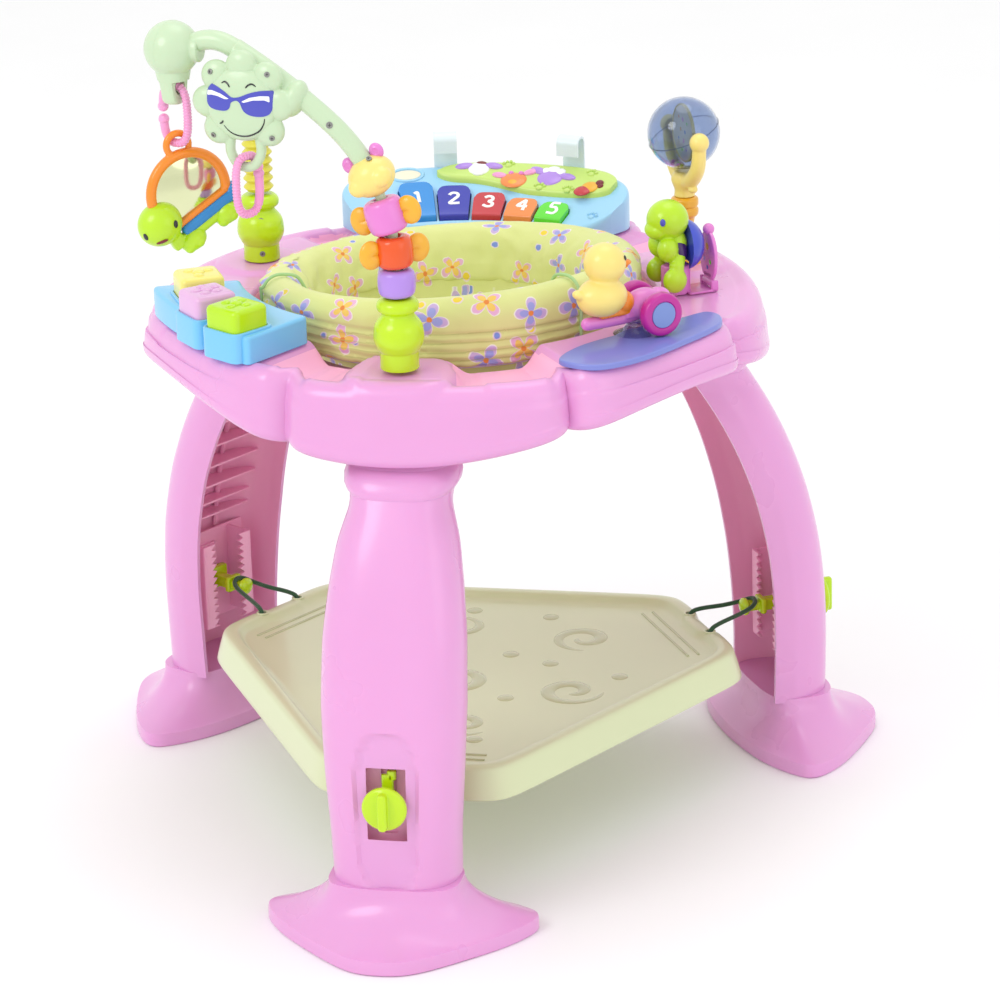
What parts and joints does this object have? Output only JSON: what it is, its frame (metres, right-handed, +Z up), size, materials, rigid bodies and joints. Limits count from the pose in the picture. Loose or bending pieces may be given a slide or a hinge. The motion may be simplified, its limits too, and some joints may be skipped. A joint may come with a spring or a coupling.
{
  "type": "activity jumper",
  "caption": "Round toy tray on three arched legs with a swivelling cloth seat, a bounce pad hung on elastic cords, and toy stations on posts.",
  "frame": {"origin": "centre of the footprint box, on the floor", "axes": "+Z up; the front leg points to -Y and the other two legs to +X +Y and -X +Y; +X is the pictured right side"},
  "size_m": [0.8224, 0.78, 0.878],
  "materials": {
    "pink_plastic": "glossy moulded light pink",
    "lime_plastic": "glossy lime green",
    "elastic_cord": "woven dark green elastic cord",
    "pad_plastic": "satin cream with embossed swirls",
    "white_plastic": "satin white",
    "seat_cloth": "printed yellow-green cotton with flowers",
    "mint_plastic": "satin pale green",
    "purple_bead": "glossy",
    "orange_bead": "glossy",
    "pink_bead": "glossy",
    "yellow_plastic": "satin soft yellow",
    "link_plastic": "glossy ribbed pink",
    "orange_plastic": "glossy orange",
    "mirror_sheet": "flexible mirror sheet",
    "blue_trim": "glossy blue",
    "turtle_green": "glossy green",
    "spring_plastic": "satin yellow-green",
    "station_blue": "glossy sky blue",
    "block_yellow": "glossy",
    "block_lilac": "glossy",
    "block_green": "glossy",
    "violet_plastic": "satin blue-violet",
    "car_pink": "glossy pink",
    "tyre_magenta": "glossy magenta",
    "clear_plastic": "clear, faintly blue",
    "disc_card": "printed disc",
    "turtle_blue": "glossy dark blue",
    "page_plastic": "satin pink-purple",
    "panel_green": "satin light green",
    "key_blue": "glossy",
    "key_indigo": "glossy",
    "key_red": "glossy",
    "key_orange": "glossy",
    "key_green": "glossy"
  },
  "bodies": {
    "stand": {"leg_front": "pink_plastic", "foot_front": "pink_plastic", "leg_right": "pink_plastic", "foot_right": "pink_plastic", "leg_left": "pink_plastic", "foot_left": "pink_plastic", "tray": "pink_plastic", "front_post": "lime_plastic", "left_post": "lime_plastic", "arch_tube": "mint_plastic", "arch_ball": "mint_plastic", "flower": "mint_plastic", "worm_head": "yellow_plastic", "globe_spindle": "orange_plastic", "block_base": "station_blue", "piano_body": "station_blue", "duck_plate": "violet_plastic", "turtle_perch": "car_pink", "piano_panel": "panel_green", "piano_straps": "white_plastic"},
    "seat": {"seat_ring": "white_plastic", "seat_fabric": "seat_cloth"},
    "pad": {"bounce_pad": "pad_plastic"},
    "link_1": {"link_ball": "link_plastic"},
    "link_2": {"link_flower": "link_plastic"},
    "hanging_turtle": {"mirror_frame": "orange_plastic", "mirror_plate": "mirror_sheet", "mirror_turtle_rim": "blue_trim", "mirror_turtle_body": "turtle_green"},
    "spring": {"spring_stem": "spring_plastic"},
    "duck_car": {"duck_vehicle": "car_pink", "duck": "yellow_plastic"},
    "near_wheel": {"wheel_near": "tyre_magenta"},
    "far_wheel": {"wheel_far": "tyre_magenta"},
    "sitting_turtle": {"turtle_sitter": "turtle_green", "turtle_shell": "turtle_blue"},
    "page": {"turtle_page": "page_plastic"},
    "fork": {"globe_fork": "yellow_plastic"},
    "globe": {"globe_shell": "clear_plastic", "globe_disc": "disc_card"},
    "carriage_front": {"hook_front": "lime_plastic", "cord_front": "elastic_cord"},
    "knob_front": {"knob_front": "lime_plastic"},
    "carriage_right": {"hook_right": "lime_plastic", "cord_right": "elastic_cord"},
    "knob_right": {"knob_right": "lime_plastic"},
    "carriage_left": {"hook_left": "lime_plastic", "cord_left": "elastic_cord"},
    "knob_left": {"knob_left": "lime_plastic"},
    "ring_purple": {"bead_purple": "purple_bead"},
    "ring_orange": {"bead_orange": "orange_bead"},
    "ring_pink": {"bead_pink": "pink_bead"},
    "piano_key_1": {"key_1": "key_blue"},
    "piano_key_2": {"key_2": "key_indigo"},
    "piano_key_3": {"key_3": "key_red"},
    "piano_key_4": {"key_4": "key_orange"},
    "piano_key_5": {"key_5": "key_green"},
    "button_yellow": {"block_yellow": "block_yellow"},
    "button_lilac": {"block_lilac": "block_lilac"},
    "button_green": {"block_green": "block_green"}
  },
  "joints": [
    {"name": "seat_swivel", "type": "hinge", "parent": "stand", "child": "seat", "pos_m": [0, 0.074, 0.54], "axis": [0, 0, 1], "continuous": true},
    {"name": "height_front", "type": "slide", "parent": "stand", "child": "carriage_front", "axis": [0, 0, 1], "range_m": [-0.028, 0.028]},
    {"name": "knob_turn_front", "type": "hinge", "parent": "carriage_front", "child": "knob_front", "pos_m": [0, -0.326, 0.15], "axis": [0, -1, 0], "range_deg": [0, 90]},
    {"name": "height_right", "type": "slide", "parent": "stand", "child": "carriage_right", "axis": [0, 0, 1], "range_m": [-0.028, 0.028]},
    {"name": "knob_turn_right", "type": "hinge", "parent": "carriage_right", "child": "knob_right", "pos_m": [0.34641, 0.274, 0.15], "axis": [0.866, 0.5, 0], "range_deg": [0, 90]},
    {"name": "height_left", "type": "slide", "parent": "stand", "child": "carriage_left", "axis": [0, 0, 1], "range_m": [-0.028, 0.028]},
    {"name": "knob_turn_left", "type": "hinge", "parent": "carriage_left", "child": "knob_left", "pos_m": [-0.34641, 0.274, 0.15], "axis": [-0.866, 0.5, 0], "range_deg": [0, 90]},
    {"name": "pad_bounce", "type": "slide", "parent": "carriage_front", "child": "pad", "axis": [0, 0, 1], "range_m": [-0.05, 0.015], "stiffness_N_per_m": 3000, "springref_m": 0.00303, "deforming": ["cord_front", "cord_right", "cord_left"]},
    {"name": "bead_spin_purple", "type": "hinge", "parent": "stand", "child": "ring_purple", "pos_m": [0, -0.183, 0.6335], "axis": [0, 0, 1], "continuous": true},
    {"name": "bead_spin_orange", "type": "hinge", "parent": "stand", "child": "ring_orange", "pos_m": [-0.00099, -0.18286, 0.664], "axis": [-0.0518, 0.0073, 0.9986], "continuous": true},
    {"name": "bead_spin_pink", "type": "hinge", "parent": "stand", "child": "ring_pink", "pos_m": [-0.00832, -0.18183, 0.699], "axis": [-0.2895, 0.0407, 0.9563], "continuous": true},
    {"name": "link_swing", "type": "hinge", "parent": "stand", "child": "link_1", "pos_m": [-0.21687, -0.15252, 0.8151], "axis": [0.9397, -0.342, 0], "range_deg": [-25, 25]},
    {"name": "turtle_swing", "type": "hinge", "parent": "link_1", "child": "hanging_turtle", "pos_m": [-0.21687, -0.15252, 0.7581], "axis": [0.9397, -0.342, 0], "range_deg": [-20, 20]},
    {"name": "flower_link_swing", "type": "hinge", "parent": "stand", "child": "link_2", "pos_m": [-0.14328, -0.17498, 0.742], "axis": [-0.9903, 0.1392, 0], "range_deg": [-12, 12]},
    {"name": "spring_sway", "type": "hinge", "parent": "stand", "child": "spring", "pos_m": [-0.22199, 0.17284, 0.6158], "axis": [0.1736, 0.9848, 0], "range_deg": [-12, 12], "stiffness_Nm_per_rad": 1.2},
    {"name": "key_press_1", "type": "slide", "parent": "stand", "child": "piano_key_1", "axis": [0, 0, 1], "range_m": [-0.0035, 0], "stiffness_N_per_m": 400, "springref_m": 0.003},
    {"name": "key_press_2", "type": "slide", "parent": "stand", "child": "piano_key_2", "axis": [0, 0, 1], "range_m": [-0.0035, 0], "stiffness_N_per_m": 400, "springref_m": 0.003},
    {"name": "key_press_3", "type": "slide", "parent": "stand", "child": "piano_key_3", "axis": [0, 0, 1], "range_m": [-0.0035, 0], "stiffness_N_per_m": 400, "springref_m": 0.003},
    {"name": "key_press_4", "type": "slide", "parent": "stand", "child": "piano_key_4", "axis": [0, 0, 1], "range_m": [-0.0035, 0], "stiffness_N_per_m": 400, "springref_m": 0.003},
    {"name": "key_press_5", "type": "slide", "parent": "stand", "child": "piano_key_5", "axis": [0, 0, 1], "range_m": [-0.0035, 0], "stiffness_N_per_m": 400, "springref_m": 0.003},
    {"name": "press_yellow", "type": "slide", "parent": "stand", "child": "button_yellow", "axis": [0, 0, 1], "range_m": [-0.006, 0], "stiffness_N_per_m": 600, "springref_m": 0.003},
    {"name": "press_lilac", "type": "slide", "parent": "stand", "child": "button_lilac", "axis": [0, 0, 1], "range_m": [-0.006, 0], "stiffness_N_per_m": 600, "springref_m": 0.003},
    {"name": "press_green", "type": "slide", "parent": "stand", "child": "button_green", "axis": [0, 0, 1], "range_m": [-0.006, 0], "stiffness_N_per_m": 600, "springref_m": 0.003},
    {"name": "duck_spin", "type": "hinge", "parent": "stand", "child": "duck_car", "pos_m": [0.211, -0.069, 0.56], "axis": [0, 0, 1], "continuous": true},
    {"name": "near_wheel_spin", "type": "hinge", "parent": "duck_car", "child": "near_wheel", "pos_m": [0.23792, -0.07774, 0.5753], "axis": [-0.6428, 0.766, 0], "continuous": true},
    {"name": "far_wheel_spin", "type": "hinge", "parent": "duck_car", "child": "far_wheel", "pos_m": [0.20706, -0.04097, 0.5753], "axis": [-0.6428, 0.766, 0], "continuous": true},
    {"name": "turtle_rock", "type": "hinge", "parent": "stand", "child": "sitting_turtle", "pos_m": [0.226, 0.102, 0.568], "axis": [0.5299, -0.848, 0], "range_deg": [-8, 12]},
    {"name": "page_flip", "type": "hinge", "parent": "stand", "child": "page", "pos_m": [0.25738, 0.12161, 0.548], "axis": [-0.5299, 0.848, 0], "range_deg": [0, 60]},
    {"name": "fork_swivel", "type": "hinge", "parent": "stand", "child": "fork", "pos_m": [0.2217, 0.202, 0.62], "axis": [0, 0, 1], "continuous": true},
    {"name": "globe_spin", "type": "hinge", "parent": "fork", "child": "globe", "pos_m": [0.2217, 0.202, 0.681], "axis": [0.4848, -0.8746, 0], "continuous": true}
  ],
  "couplings": [
    {"joint": "height_right", "follows": "height_front", "ratio": 1},
    {"joint": "height_left", "follows": "height_front", "ratio": 1}
  ]
}
